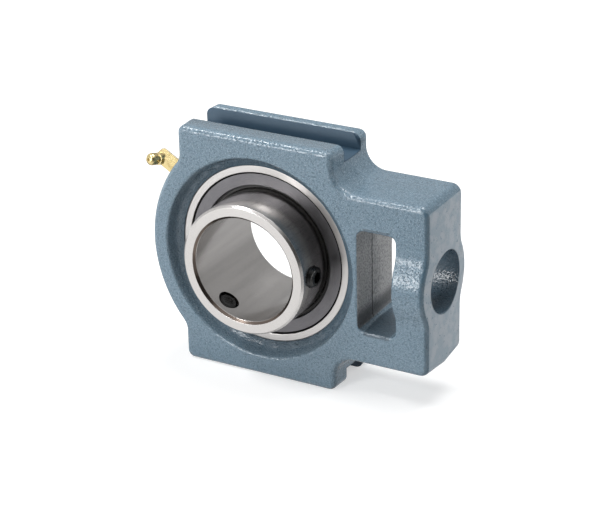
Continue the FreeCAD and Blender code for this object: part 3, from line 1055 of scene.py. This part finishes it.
class GeometryTree(NodeTree):
    """A Geometry Nodes tree with named inputs."""

    SOCKETS = {
        float: "NodeSocketFloat",
        int: "NodeSocketInt",
        bpy.types.Material: "NodeSocketMaterial",
    }

    def __init__(self, name: str, inputs: dict[str, type]) -> None:
        """Start the tree.

        Args:
            name: The tree's name.
            inputs: The name and kind of each of its inputs, beside its finish.
        """
        super().__init__(bpy.data.node_groups.new(name, "GeometryNodeTree"))
        face = self.tree.interface
        self.identifiers = {}
        for title, kind in {**inputs, "Finish": bpy.types.Material}.items():
            socket = face.new_socket(title, in_out="INPUT", socket_type=self.SOCKETS[kind])
            self.identifiers[title] = socket.identifier
        face.new_socket("Geometry", in_out="OUTPUT", socket_type="NodeSocketGeometry")
        self.given = self.tree.nodes.new("NodeGroupInput").outputs
        self.output = self.tree.nodes.new("NodeGroupOutput")

    def close(self, geometry: Socket) -> None:
        """End the tree in real, finished geometry.

        Args:
            geometry: What the tree has made.
        """
        real = self.node("GeometryNodeRealizeInstances", {"Geometry": geometry}).outputs[0]
        inputs = {"Geometry": real, "Material": self.given["Finish"]}
        dressed = self.node("GeometryNodeSetMaterial", inputs).outputs[0]
        self.feed(self.output.inputs[0], dressed)

    def mesh(self, name: str, values: dict[str, object]) -> bpy.types.Mesh:
        """Run the tree once.

        Args:
            name: Name of the mesh.
            values: A value for each input.

        Returns:
            The result as a plain mesh.
        """
        carrier = bpy.data.objects.new(name, bpy.data.meshes.new(name))
        bpy.context.scene.collection.objects.link(carrier)
        modifier = carrier.modifiers.new(name, "NODES")
        modifier.node_group = self.tree
        for title, value in values.items():
            modifier[self.identifiers[title]] = value
        evaluated = carrier.evaluated_get(bpy.context.evaluated_depsgraph_get())
        mesh = bpy.data.meshes.new_from_object(evaluated)
        carrier.modifiers.remove(modifier)
        bpy.data.objects.remove(carrier)
        return mesh


def coil_tree() -> GeometryTree:
    """Tree for a thread's ridge or a spring's wire, wound round local Z.

    Returns:
        A tree with the coil's radius, pitch and turns, the steps in a turn, and the wire's radius
        and sides as inputs.
    """
    tree = GeometryTree(
        "wound_coil",
        {
            "Radius": float,
            "Pitch": float,
            "Turns": float,
            "Steps": int,
            "Wire": float,
            "Sides": int,
        },
    )
    given = tree.given
    inputs = {
        "Resolution": given["Steps"],
        "Rotations": given["Turns"],
        "Start Radius": given["Radius"],
        "End Radius": given["Radius"],
        "Height": tree.math("MULTIPLY", given["Pitch"], given["Turns"]),
    }
    path = tree.node("GeometryNodeCurveSpiral", inputs).outputs[0]
    upright = tree.node("GeometryNodeSetCurveNormal", {"Curve": path}, mode="Z_UP").outputs[0]
    inputs = {"Resolution": given["Sides"], "Radius": given["Wire"]}
    profile = tree.node("GeometryNodeCurvePrimitiveCircle", inputs).outputs[0]
    inputs = {"Curve": upright, "Profile Curve": profile, "Fill Caps": True}
    tree.close(tree.node("GeometryNodeCurveToMesh", inputs).outputs[0])
    return tree


def rivet_tree() -> GeometryTree:
    """Tree for rivets on a circle, each along local Z with a domed head at both ends.

    Returns:
        A tree with the circle's radius, the number, the rivet's sizes, its sides and the height of
        its domes, as a share of their radius, as inputs.
    """
    tree = GeometryTree(
        "cage_rivets",
        {
            "Circle": float,
            "Count": int,
            "Shank": float,
            "Head": float,
            "Half Length": float,
            "Sides": int,
            "Dome": float,
        },
    )
    given = tree.given
    inputs = {"Vertices": given["Count"], "Radius": given["Circle"]}
    ring = tree.node("GeometryNodeMeshCircle", inputs).outputs[0]
    long = tree.math("MULTIPLY", given["Half Length"], 2.0)
    inputs = {"Vertices": given["Sides"], "Radius": given["Shank"], "Depth": long}
    parts = [tree.node("GeometryNodeMeshCylinder", inputs).outputs["Mesh"]]
    levels = tree.math("DIVIDE", given["Sides"], 2.0)
    flattening = tree.node("ShaderNodeCombineXYZ", {0: 1.0, 1: 1.0, 2: given["Dome"]}).outputs[0]
    for way in (1.0, -1.0):
        inputs = {"Segments": given["Sides"], "Rings": levels, "Radius": given["Head"]}
        ball = tree.node("GeometryNodeMeshUVSphere", inputs).outputs[0]
        lift = tree.math("MULTIPLY", given["Half Length"], way)
        offset = tree.node("ShaderNodeCombineXYZ", {2: lift}).outputs[0]
        inputs = {"Geometry": ball, "Translation": offset, "Scale": flattening}
        parts.append(tree.node("GeometryNodeTransform", inputs).outputs[0])
    joined = tree.node("GeometryNodeJoinGeometry", {})
    for part in parts:
        tree.feed(joined.inputs[0], part)
    smooth = tree.node("GeometryNodeSetShadeSmooth", {"Geometry": joined.outputs[0]}).outputs[0]
    inputs = {"Points": ring, "Instance": smooth}
    tree.close(tree.node("GeometryNodeInstanceOnPoints", inputs).outputs[0])
    return tree


class Workshop:
    """Turns meshes into pieces that ride on the unit's bodies."""

    COIL_STEPS = 40

    def __init__(self, finishes: Finishes) -> None:
        """Keep the finishes and make the tree that winds every coil."""
        self.finishes = finishes
        self.coil = coil_tree()

    def piece(
        self,
        name: str,
        mesh: bpy.types.Mesh,
        finish: bpy.types.Material,
        body: str,
        slot: str,
        node: str,
        crease_deg: float = 32.0,
    ) -> bpy.types.Object:
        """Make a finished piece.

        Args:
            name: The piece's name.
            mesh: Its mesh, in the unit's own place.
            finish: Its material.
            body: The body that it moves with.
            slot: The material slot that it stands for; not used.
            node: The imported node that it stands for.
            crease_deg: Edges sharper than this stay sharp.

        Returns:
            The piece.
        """
        mesh.materials.clear()
        mesh.materials.append(finish)
        mesh.shade_smooth()
        mesh.set_sharp_from_angle(angle=math.radians(crease_deg))
        made = bpy.data.objects.new(name, mesh)
        bpy.context.scene.collection.objects.link(made)
        weighted = made.modifiers.new("even_normals", "WEIGHTED_NORMAL")
        weighted.keep_sharp = True
        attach(made, body)
        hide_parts(node)
        LOG.info("piece %s: %d faces, on %s", name, len(mesh.polygons), body)
        return made

    def dress(self, node: str, finish: bpy.types.Material) -> None:
        """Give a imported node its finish.

        Args:
            node: The node's name.
            finish: Its material.
        """
        target = frame["nodes"][node]
        for place in target.material_slots:
            place.link = "OBJECT"
            place.material = finish
        LOG.info("node %s: %s", node, finish.name)

    def wound_coil(
        self, name: str, radius: float, pitch: float, turns: float, wire: float, sides: int
    ) -> bpy.types.Mesh:
        """Wind a coil round local Z, starting at height nought.

        Args:
            name: The mesh's name.
            radius: Distance of the wire's middle from the axis.
            pitch: Height of one turn.
            turns: Number of turns.
            wire: Radius of the wire.
            sides: Sides of the wire.

        Returns:
            A closed mesh.
        """
        values = {
            "Radius": radius,
            "Pitch": pitch,
            "Turns": turns,
            "Steps": self.COIL_STEPS,
            "Wire": wire,
            "Sides": sides,
            "Finish": self.finishes.pressed,
        }
        return self.coil.mesh(name, values)


@dataclass
class Housing:
    """The iron casting."""

    shop: Workshop
    crease_deg: float = 25.0

    def build(self) -> None:
        """Make the painted casting."""
        mesh = merged_copy("housing")
        paint = self.shop.finishes.paint
        self.shop.piece(
            "cast_housing", mesh, paint, "housing_body", "cast_paint", "housing", self.crease_deg
        )


@dataclass
class Insert:
    """Outer ring, shields and seal lips of the bearing."""

    shop: Workshop
    sphere: float = 45.0 * MM
    half_width: float = 12.0 * MM
    rim_edge: float = 0.5 * MM
    rim_rounding: float = 0.2 * MM
    land: float = 38.9 * MM
    pocket: float = 39.7 * MM
    snap_radius: float = 40.4 * MM
    snap_near: float = 9.4 * MM
    snap_far: float = 10.4 * MM
    race_radius: float = 6.6 * MM
    race_centre: float = 34.78 * MM
    groove_start: float = -7.8 * MM
    groove_end: float = -4.6 * MM
    groove_depth: float = 0.8 * MM
    edge: float = 0.35 * MM
    sheet: float = 0.8 * MM
    sheet_edge: float = 0.2 * MM
    shield_face: float = 11.3 * MM
    shield_bore: float = 33.0 * MM
    rim_bend: float = 0.45 * MM
    bore_bend: float = 0.7 * MM
    inner_bend: float = 0.3 * MM
    curl: float = 1.9 * MM
    fit: float = 0.05 * MM
    segments: int = 224
    front_steps: int = 10
    rear_steps: int = 20
    bend_steps: int = 6

    def on_sphere(self, along: float) -> Corner:
        """Corner on the ring's ball-shaped outside."""
        return Corner(math.sqrt(self.sphere**2 - along**2), along)

    def seal_pocket(self, side: Side) -> list[Corner]:
        """Find the corners of one seal pocket, from its mouth inwards.

        Args:
            side: The side that it is on.

        Returns:
            The corners.
        """
        way = side.value
        return [
            Corner(self.pocket, way * self.half_width, self.edge),
            Corner(self.pocket, way * self.snap_far),
            Corner(self.snap_radius, way * self.snap_far),
            Corner(self.snap_radius, way * self.snap_near),
            Corner(self.land, way * self.snap_near),
        ]

    def outer_ring(self) -> None:
        """Make the outer ring with its rounded edges, grease groove and seal pockets."""
        rim = math.sqrt(self.sphere**2 - self.half_width**2) - self.rim_edge
        bed = self.on_sphere(self.groove_start).radius - self.groove_depth
        front = spread(self.rim_edge - self.half_width, self.groove_start, self.front_steps)
        rear = spread(self.groove_end, self.half_width - self.rim_edge, self.rear_steps)
        reach = math.degrees(math.acos((self.land - self.race_centre) / self.race_radius))
        corners = [
            Corner(rim, -self.half_width, self.rim_rounding),
            *[self.on_sphere(along) for along in front],
            Corner(bed, self.groove_start),
            Corner(bed, self.groove_end),
            *[self.on_sphere(along) for along in rear],
            Corner(rim, self.half_width, self.rim_rounding),
            *self.seal_pocket(Side.REAR),
            *arc_corners(self.race_centre, self.race_radius, 0.0, reach),
            *reversed(self.seal_pocket(Side.FRONT)),
        ]
        outline = rounded_outline(corners)
        mesh = turned_mesh("bearing_outer_ring", outline, self.segments, along_shaft())
        steel = self.shop.finishes.race
        self.shop.piece("bearing_outer_ring", mesh, steel, "insert", "ground_steel", "outer_ring")

    def shield(self, side: Side) -> None:
        """Make one pressed shield and dress its seal lip.

        Args:
            side: The side that it is on.
        """
        way = side.value
        face = self.shield_face
        wall = self.pocket - self.fit
        snap = self.snap_radius - self.fit
        inside = self.shield_bore + self.sheet
        corners = [
            Corner(self.shield_bore, way * (face - self.curl), self.sheet_edge),
            Corner(self.shield_bore, way * face, self.bore_bend),
            Corner(wall, way * face, self.rim_bend),
            Corner(wall, way * self.snap_far),
            Corner(snap, way * self.snap_far, self.sheet_edge),
            Corner(snap, way * self.snap_near, self.sheet_edge),
            Corner(self.land, way * self.snap_near),
            Corner(self.land, way * (face - self.sheet)),
            Corner(inside, way * (face - self.sheet), self.inner_bend),
            Corner(inside, way * (face - self.curl), self.sheet_edge),
        ]
        prefix = side.name.lower()
        name = f"{prefix}_sheet_shield"
        outline = rounded_outline(corners, self.bend_steps)
        mesh = turned_mesh(name, outline, self.segments, along_shaft())
        steel = self.shop.finishes.shield
        self.shop.piece(name, mesh, steel, "insert", "shield_steel", f"{prefix}_shield")
        self.shop.dress(f"{prefix}_seal_lip", self.shop.finishes.rubber)

    def build(self) -> None:
        """Make the ring, and both shields with their seal lips."""
        self.outer_ring()
        for side in Side:
            self.shield(side)


@dataclass
class InnerRing:
    """Wide inner ring with its two tapped holes."""

    shop: Workshop
    bore: float = 25.0 * MM
    outside: float = 31.25 * MM
    front: float = -32.6 * MM
    back: float = 19.0 * MM
    edge_chamfer: float = 1.0 * MM
    bore_chamfer: float = 1.25 * MM
    race_centre: float = 35.22 * MM
    race_radius: float = 6.6 * MM
    break_edge: float = 0.12 * MM
    hole: float = 5.05 * MM
    countersink: float = 0.35 * MM
    drill_reach: float = 3.0 * MM
    drill_flare: float = 4.0 * MM
    drill_segments: int = 64
    segments: int = 224

    def blank(self) -> bpy.types.Mesh:
        """Turn the ring without its holes.

        Returns:
            The ring's mesh.
        """
        reach = math.degrees(math.acos((self.race_centre - self.outside) / self.race_radius))
        edge = self.edge_chamfer
        chamfer = self.bore_chamfer
        soft = self.break_edge
        corners = [
            Corner(self.bore + chamfer, self.front, soft),
            Corner(self.outside - edge, self.front, soft),
            Corner(self.outside, self.front + edge, soft),
            *arc_corners(self.race_centre, self.race_radius, 180.0, reach),
            Corner(self.outside, self.back - edge, soft),
            Corner(self.outside - edge, self.back, soft),
            Corner(self.bore + chamfer, self.back, soft),
            Corner(self.bore, self.back - chamfer, soft),
            Corner(self.bore, self.front + chamfer, soft),
        ]
        outline = rounded_outline(corners)
        return turned_mesh("wide_inner_ring", outline, self.segments, along_shaft())

    def drill(self, angle_deg: float) -> bpy.types.Mesh:
        """Tool that cuts one hole with its countersink.

        Args:
            angle_deg: The hole's direction round the shaft.

        Returns:
            The tool's mesh.
        """
        mouth = self.outside - self.countersink
        start = self.bore - self.drill_reach
        outline = [
            (0.0, start),
            (self.hole, start),
            (self.hole, mouth),
            (self.hole + self.drill_flare, mouth + self.drill_flare),
            (0.0, mouth + self.drill_flare),
        ]
        place = on_radius(angle_deg, SCREW_ALONG)
        return turned_mesh("drill", outline, self.drill_segments, place)

    def build(self) -> None:
        """Make the ring and cut its tapped holes."""
        mesh = cut_mesh(self.blank(), [self.drill(angle) for angle in SCREW_ANGLES_DEG])
        steel = self.shop.finishes.ring
        self.shop.piece("wide_inner_ring", mesh, steel, "shaft_ring", "ground_steel", "inner_ring")


@dataclass
class SetScrews:
    """The two socket set screws with their threads."""

    shop: Workshop
    tip: float = 25.5 * MM
    length: float = 8.0 * MM
    core: float = 4.35 * MM
    crest: float = 4.85 * MM
    pitch: float = 1.0 * MM
    chamfer: float = 0.75 * MM
    end_step: float = 0.4 * MM
    end_rounding: float = 0.1 * MM
    socket_flats: float = 5.0 * MM
    socket_depth: float = 4.2 * MM
    cup: float = 2.6 * MM
    cup_depth: float = 1.1 * MM
    cup_rounding: float = 0.08 * MM
    segments: int = 64
    socket_sides: int = 6
    thread_sides: int = 4

    def shank(self, place: Matrix) -> bpy.types.Mesh:
        """Make a screw without its thread.

        Args:
            place: Where it goes, its own axis being local Z.

        Returns:
            The shank with its cup point and socket.
        """
        top = self.tip + self.length
        end = self.core - self.end_step
        corners = [
            Corner(0.0, self.tip + self.cup_depth),
            Corner(self.cup, self.tip, self.cup_rounding),
            Corner(end, self.tip, self.end_rounding),
            Corner(self.core, self.tip + self.chamfer),
            Corner(self.core, top - self.chamfer),
            Corner(end, top, self.end_rounding),
            Corner(0.0, top),
        ]
        shank = turned_mesh("screw_core", rounded_outline(corners), self.segments, place)
        corner = self.socket_flats / 2 / math.cos(math.pi / self.socket_sides)
        low = top - self.socket_depth
        socket = prism_mesh("socket", self.socket_sides, corner, low, top + MM, place)
        return cut_mesh(shank, [socket])

    def thread(self, place: Matrix) -> bpy.types.Mesh:
        """Wind a screw's thread.

        Args:
            place: Where it goes, its own axis being local Z.

        Returns:
            The thread's ridge.
        """
        turns = (self.length - 2 * self.chamfer) / self.pitch
        ridge = self.crest - self.core
        mesh = self.shop.wound_coil(
            "screw_thread", self.core, self.pitch, turns, ridge, self.thread_sides
        )
        mesh.transform(place @ Matrix.Translation((0.0, 0.0, self.tip + self.chamfer)))
        return mesh

    def build(self) -> None:
        """Make both screws."""
        steel = self.shop.finishes.black
        for number, angle in enumerate(SCREW_ANGLES_DEG, start=1):
            name = f"socket_set_screw_{number}"
            place = on_radius(angle, SCREW_ALONG)
            mesh = joined_mesh(name, [self.shank(place), self.thread(place)])
            body = f"clamp_screw_{number}"
            self.shop.piece(name, mesh, steel, body, "black_steel", f"set_screw_{number}")


@dataclass
class BallRow:
    """The balls, their cage and its rivets."""

    shop: Workshop
    pitch_radius: float = 35.0 * MM
    count: int = 10
    shank: float = 0.9 * MM
    head: float = 1.55 * MM
    half_length: float = 0.8 * MM
    sides: int = 24
    dome: float = 0.35

    def build(self) -> None:
        """Dress the balls and ribbons, and make the rivets."""
        for number in range(1, self.count + 1):
            self.shop.dress(f"ball_{number:02d}", self.shop.finishes.lapped)
        pressed = self.shop.finishes.pressed
        for node in ("cage_front", "cage_rear"):
            self.shop.dress(node, pressed)
        values = {
            "Circle": self.pitch_radius,
            "Count": self.count,
            "Shank": self.shank,
            "Head": self.head,
            "Half Length": self.half_length,
            "Sides": self.sides,
            "Dome": self.dome,
            "Finish": pressed,
        }
        mesh = rivet_tree().mesh("ribbon_rivets", values)
        mesh.transform(along_shaft())
        self.shop.piece("ribbon_rivets", mesh, pressed, "cage", "sheet_steel", "cage_rivets")


@dataclass
class AngleNipple:
    """Brass grease nipple with its check valve."""

    shop: Workshop
    push: Triple = (0.328023725, 0.923879533, -0.197096538)
    travel: float = 0.8 * MM
    ball_radius: float = 1.35 * MM
    spring_length: float = 4.7957 * MM
    coil_radius: float = 1.15 * MM
    wire_radius: float = 0.2 * MM
    wire_sides: int = 12
    turns: float = 5.5

    def spring(self) -> None:
        """Wind the spring, which the ball squeezes towards the elbow."""
        low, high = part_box("nipple_check_ball")
        centre = (Vector(low) + Vector(high)) / 2
        push = Vector(self.push)
        foot = centre + push * (self.ball_radius + self.spring_length)
        pitch = self.spring_length / self.turns
        mesh = self.shop.wound_coil(
            "valve_spring", self.coil_radius, pitch, self.turns, self.wire_radius, self.wire_sides
        )
        turn = push.to_track_quat("-Z", "Y").to_matrix().to_4x4()
        mesh.transform(Matrix.Translation(foot) @ turn)
        pressed = self.shop.finishes.pressed
        made = self.shop.piece(
            "valve_spring", mesh, pressed, "housing_body", "sheet_steel", "nipple_spring"
        )
        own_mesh(made)

    def build(self) -> None:
        """Dress the nipple and its ball, and make its spring."""
        self.shop.dress("grease_nipple", self.shop.finishes.brass)
        self.shop.dress("nipple_check_ball", self.shop.finishes.lapped)
        self.spring()


def flat_card(
    name: str, corners: tuple[Triple, ...], material: bpy.types.Material
) -> bpy.types.Object:
    """Put a flat card in the scene.

    Args:
        name: The card's name.
        corners: Its corners, in order round it.
        material: What it is made of.

    Returns:
        The card.
    """
    mesh = bpy.data.meshes.new(name)
    mesh.from_pydata(corners, [], [tuple(range(len(corners)))])
    mesh.materials.append(material)
    made = bpy.data.objects.new(name, mesh)
    bpy.context.scene.collection.objects.link(made)
    return made


@dataclass(frozen=True)
class SoftLight:
    """One soft box, named by the way that it stands from the unit."""

    name: str
    towards: Triple
    distance: float
    width: float
    height: float
    power: float
    shines: bool = True

    def build(self) -> None:
        """Hang the light and turn it to the unit."""
        data = bpy.data.lights.new(self.name, "AREA")
        data.shape = "RECTANGLE"
        data.size = self.width
        data.size_y = self.height
        data.energy = self.power
        made = bpy.data.objects.new(self.name, data)
        way = Vector(self.towards).normalized()
        made.location = way * self.distance
        made.rotation_euler = way.to_track_quat("Z", "Y").to_euler()
        made.visible_glossy = self.shines
        bpy.context.scene.collection.objects.link(made)


@dataclass(frozen=True)
class Flag:
    """Grey card that only the shine of the metal and paint shows."""

    name: str
    corners: tuple[Triple, Triple, Triple, Triple]
    grey: float

    def build(self) -> None:
        """Put the card in its place."""
        shader = Shader(self.name)
        inputs = {"Color": (self.grey, self.grey, self.grey, 1.0)}
        material = shader.closed(shader.node("ShaderNodeEmission", inputs))
        made = flat_card(self.name, self.corners, material)
        made.visible_camera = False
        made.visible_diffuse = False
        made.visible_transmission = False
        made.visible_shadow = False


@dataclass
class Studio:
    """Camera, soft light, pale floor and white surroundings."""

    camera_place: Triple = (0.433708, -0.739352, 0.380958)
    camera_turn_deg: Triple = (65.671, 1.088, 29.023)
    lens: float = 119.27
    sensor: float = 36.0
    nearest: float = 0.01
    farthest: float = 50.0
    floor_z: float = -58.5 * MM
    floor_size: float = 8.0
    floor_grey: float = 0.65
    floor_glow: Fade = Fade(0.3, 1.4, 0.5, 1.0)
    world_light: float = 0.08
    lights: tuple[SoftLight, ...] = (
        SoftLight("strip_box", (-0.4, -0.9, 0.14), 1.2, 0.44, 0.44, 5.9),
        SoftLight("upper_strip_box", (-0.16, -0.79, 0.58), 1.2, 0.24, 0.2, 3.1),
        SoftLight("left_box", (-0.85, -0.31, 0.42), 1.2, 0.3, 0.5, 2.2, False),
        SoftLight("high_box", (-0.449, -0.297, 0.843), 1.2, 0.5, 0.2, 5.8),
        SoftLight("overhead_box", (0.1, 0.3, 1.0), 1.3, 0.8, 0.6, 12.0),
        SoftLight("right_box", (0.57, 0.81, 0.14), 1.3, 0.8, 0.5, 10.8, False),
    )
    flags: tuple[Flag, ...] = (
        Flag(
            "back_flag",
            ((-0.8, 0.95, CARD_FOOT), (-0.8, 0.8, 0.85), (1.3, 0.6, 0.85), (1.3, 0.75, CARD_FOOT)),
            0.5,
        ),
        Flag(
            "camera_flag",
            ((0.2, -1.2, CARD_FOOT), (0.2, -1.0, 0.8), (1.2, -0.2, 0.8), (1.2, -0.3, CARD_FOOT)),
            0.09,
        ),
        Flag(
            "floor_flag",
            (
                (0.06, -0.075, CARD_FOOT),
                (-0.3, -0.757, CARD_FOOT),
                (0.9, -0.757, CARD_FOOT),
                (0.9, 0.0, CARD_FOOT),
            ),
            0.6,
        ),
        Flag(
            "rear_floor_flag",
            (
                (-0.3, -0.04, CARD_FOOT),
                (-0.3, 0.93, CARD_FOOT),
                (0.9, 0.8, CARD_FOOT),
                (0.9, 0.001, CARD_FOOT),
            ),
            0.64,
        ),
    )

    def camera(self) -> None:
        """Set up the camera at the photograph's angle."""
        data = bpy.data.cameras.new("camera")
        data.lens = self.lens
        data.sensor_width = self.sensor
        data.clip_start = self.nearest
        data.clip_end = self.farthest
        made = bpy.data.objects.new("camera", data)
        made.location = self.camera_place
        made.rotation_euler = [math.radians(turn) for turn in self.camera_turn_deg]
        bpy.context.scene.collection.objects.link(made)
        bpy.context.scene.camera = made

    def world(self) -> None:
        """White surroundings that light the unit at a plain level."""
        world = bpy.data.worlds.new("studio")
        bpy.context.scene.world = world
        world.use_nodes = True
        nodes = NodeTree(world.node_tree)
        background = world.node_tree.nodes["Background"]
        inputs = {0: nodes.seen(), 3: self.world_light, 4: 1.0}
        strength = nodes.node("ShaderNodeMapRange", inputs).outputs[0]
        nodes.feed(background.inputs["Strength"], strength)
        nodes.feed(background.inputs["Color"], (1.0, 1.0, 1.0, 1.0))

    def floor(self) -> None:
        """Pale floor that turns white for the camera but keeps the shadow."""
        shader = Shader("pale_floor")
        grey = (self.floor_grey, self.floor_grey, self.floor_grey, 1.0)
        shade = shader.node("ShaderNodeBsdfDiffuse", {"Color": grey}).outputs[0]
        outwards = self.floor_glow.of(shader, shader.length(shader.place))
        strength = shader.product(shader.seen(), outwards)
        glow = shader.node("ShaderNodeEmission", {"Strength": strength}).outputs[0]
        material = shader.closed(shader.node("ShaderNodeAddShader", {0: shade, 1: glow}))
        half = self.floor_size / 2
        corners = ((-half, -half), (half, -half), (half, half), (-half, half))
        places = tuple((x, y, self.floor_z) for x, y in corners)
        flat_card("pale_floor", places, material)

    def build(self) -> None:
        """Set up the studio."""
        self.camera()
        self.world()
        self.floor()
        for item in (*self.lights, *self.flags):
            item.build()
        bpy.context.scene.view_settings.view_transform = "Standard"


def clear_defaults() -> None:
    """Take away whatever stands in the scene beside the frame."""
    kept = {*frame["nodes"].values(), *frame["bodies"].values()}
    for spare in set(bpy.data.objects) - kept:
        bpy.data.objects.remove(spare)


def main() -> None:
    """Build the unit round its frame, then the studio."""
    logging.basicConfig(level=logging.INFO, format="%(name)s: %(message)s")
    clear_defaults()
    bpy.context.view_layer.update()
    shop = Workshop(Finishes.make())
    for part in (Housing, Insert, InnerRing, SetScrews, BallRow, AngleNipple):
        part(shop).build()
    Studio().build()


if __name__ == "__main__":
    main()
